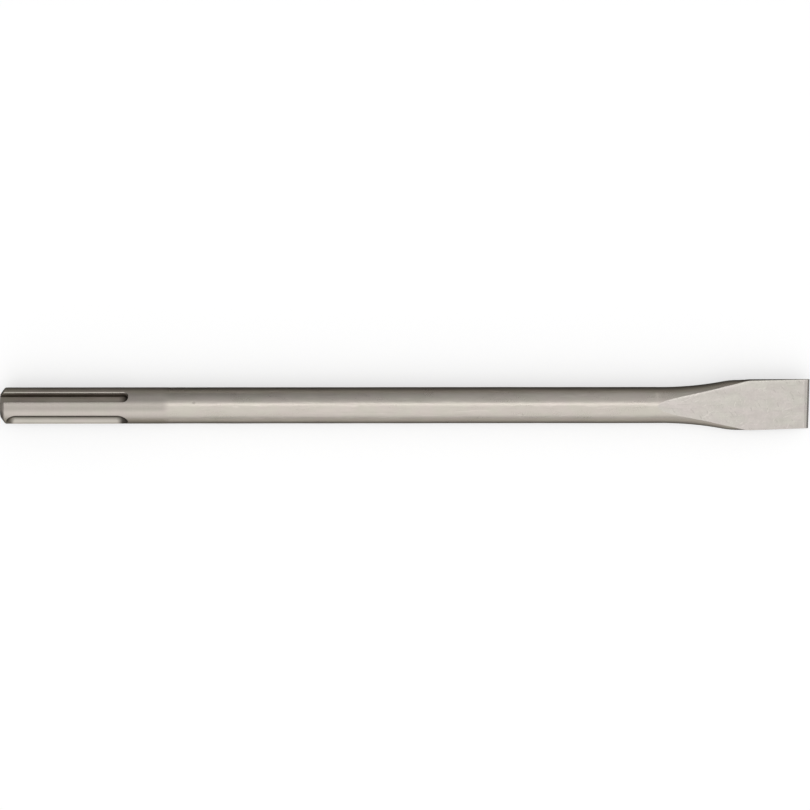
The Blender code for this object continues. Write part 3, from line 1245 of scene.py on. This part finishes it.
@dataclass(frozen=True)
class ShadeCard:
    """A sheet under the chisel that only reflections show: painted shade, dark behind it and paler
    before.
    """

    rise: float = 0.1 * MM
    size: float = 3.0
    # The sheet's colours are painted shade for the metal to reflect, with a painted contact shadow
    # beneath the chisel.
    behind: Colour = (0.41, 0.39, 0.355)
    before: Colour = (0.78, 0.755, 0.71)
    painted_contact_shadow: Colour = (0.06, 0.055, 0.05)
    fade_behind: Pair = mm(13, 58)
    fade_before: Pair = mm(12, 50)
    fade_past: Pair = mm(12, 90)

    def material(self, half_length: float) -> bpy.types.Material:
        """Builds the sheet's material, whose painted contact shadow is darkest where the chisel
        lies on it.

        Args:
            half_length: Half the length of the chisel.

        Returns:
            The material.
        """
        shader = Shader("shade_card")
        across = shader.measure(Way.ACROSS)
        from_middle = shader.math("ABSOLUTE", shader.measure(Way.ALONG))
        past = shader.spread(shader.math("SUBTRACT", from_middle, half_length), self.fade_past)
        before = shader.spread(shader.math("MULTIPLY", across, -1.0), self.fade_before)
        colour = shader.blend(shader.spread(across, self.fade_behind), self.painted_contact_shadow, self.behind)
        colour = shader.blend(shader.math("MAXIMUM", before, past), colour, self.before)
        return shader.paint({"Base Color": colour, "Roughness": 1.0, "Specular IOR Level": 0.0})

    def build(self, centre: Vector, half_length: float) -> None:
        """Lays the sheet just above the floor.

        Args:
            centre: The place on the floor under the middle of the chisel.
            half_length: Half the length of the chisel.
        """
        card = new_sheet("shade_card", self.size, centre + Vector((0, 0, self.rise)))
        card.data.materials.append(self.material(half_length))
        card.visible_camera = False
        card.visible_diffuse = False
        card.visible_shadow = False
        card.visible_transmission = False


@dataclass(frozen=True)
class Studio:
    """The pale floor, the soft light and the plain surroundings."""

    centre: Vector
    floor_height: float
    floor_size: float = 12.0
    floor_colour: Colour = (0.63, 0.63, 0.63)
    floor_speck: Colour = (0.618, 0.618, 0.618)
    floor_grain: Size = mm(1.1, 1.1, 1.1)
    floor_white: float = 0.51
    room: float = 0.46
    room_top: float = 0.29
    room_tilt: float = 0.146
    room_ends: float = 0.45
    room_twist: float = 2.0
    twist_reach: Pair = (-0.12, 0.25)
    shade: ShadeCard = ShadeCard()
    lamps: tuple[Lamp, ...] = (
        Lamp("soft_panel", lean=math.radians(-25), width=2.50, radiance=0.35),
        Lamp("thin_strip", lean=math.radians(11.5), width=0.18, radiance=1.05))

    def floor(self) -> None:
        """Lays the floor, which gives some white to what is seen of it and keeps the shadow."""
        place = Vector((self.centre.x, self.centre.y, self.floor_height))
        floor = new_sheet("floor", self.floor_size, place)
        shader = Shader("floor_paper")
        colour = shader.blend(
            shader.noise(self.floor_grain, detail=2), self.floor_speck, self.floor_colour)
        rays = shader.add("ShaderNodeLightPath").outputs
        seen = shader.math("MAXIMUM", rays["Is Camera Ray"], rays["Is Glossy Ray"])
        seen = shader.math("MAXIMUM", seen, rays["Is Transmission Ray"])
        floor.data.materials.append(shader.paint({
            "Base Color": colour, "Roughness": 0.9, "Specular IOR Level": 0.0,
            "Emission Color": NEUTRAL,
            "Emission Strength": shader.math("MULTIPLY", seen, self.floor_white)}))

    def surroundings(self) -> None:
        """Fills the room with plain light, fainter behind the chisel and past its ends."""
        world = bpy.data.worlds.new("room")
        bpy.context.scene.world = world
        world.use_nodes = True
        nodes = NodeBuilder(world.node_tree)
        place = nodes.add("ShaderNodeTexCoord").outputs["Generated"]
        parts = nodes.add("ShaderNodeSeparateXYZ", Vector=place).outputs
        level = nodes.plus(self.room, parts["Y"], -self.room_tilt)
        level = nodes.plus(level, parts["Z"], self.room_top)
        corner = nodes.spread(parts["X"], self.twist_reach, self.twist_reach)
        corner = nodes.math("MULTIPLY", corner, nodes.math("MAXIMUM", parts["Y"], 0.0))
        level = nodes.plus(level, corner, self.room_twist)
        ends = nodes.math("MULTIPLY", parts["X"], parts["X"])
        level = nodes.math("MULTIPLY", level, nodes.plus(1.0, ends, -self.room_ends))
        background = world.node_tree.nodes["Background"].inputs
        nodes.put(NEUTRAL, background["Color"])
        nodes.put(level, background["Strength"])

    def build(self) -> None:
        """Sets up the floor, the sheet, the lamps and the room."""
        self.floor()
        self.surroundings()
        self.shade.build(Vector((self.centre.x, 0, self.floor_height)), self.centre.x)
        for lamp in self.lamps:
            lamp.build(self.centre)
        log.info("studio: floor at %.1f mm", self.floor_height / MM)


@dataclass(frozen=True)
class PhotoCamera:
    """The camera that looks down on the chisel as the photograph does."""

    target: Vector
    aim_across: float = 0.11 * MM
    distance: float = 1.30
    tilt: float = math.radians(5.5)
    roll: float = math.radians(-0.05)
    frame_width: float = 401.24 * MM
    sensor: float = 36.0
    clip: Pair = (0.05, 50.0)

    def build(self) -> None:
        """Makes the camera and gives it to the scene."""
        data = bpy.data.cameras.new("photo_camera")
        data.sensor_width = self.sensor
        data.lens = self.sensor * self.distance / self.frame_width
        data.clip_start, data.clip_end = self.clip
        camera = add_to_scene("photo_camera", data)
        aim = self.target + Vector((0, self.aim_across, 0))
        place = aim + tipped(self.tilt) * self.distance
        camera.matrix_world = (
            Matrix.Translation(place) @ Matrix.Rotation(-self.tilt, 4, "X")
            @ Matrix.Rotation(self.roll, 4, "Z"))
        bpy.context.scene.camera = camera
        log.info("camera: %.0f mm lens", data.lens)


def main() -> None:
    """Builds the chisel, the studio and the camera."""
    logging.basicConfig(level=logging.INFO, format="%(name)s: %(message)s")
    bpy.context.scene.view_settings.view_transform = "Standard"
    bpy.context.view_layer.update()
    low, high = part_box(NODE)
    radius = (high.z - low.z) / 2
    length = high.x - Blade.edge_width / 2 * math.tan(Blade.slant)
    chisel = Chisel(
        bar=Bar(radius), blade=Blade(tip=length, radius=radius), grooves=DriveGrooves(radius),
        pockets=LockingPockets(radius), box=(low, high))
    chisel.build()
    centre = Vector((length / 2, 0, 0))
    Studio(centre=centre, floor_height=low.z).build()
    PhotoCamera(target=centre).build()


if __name__ == "__main__":
    main()
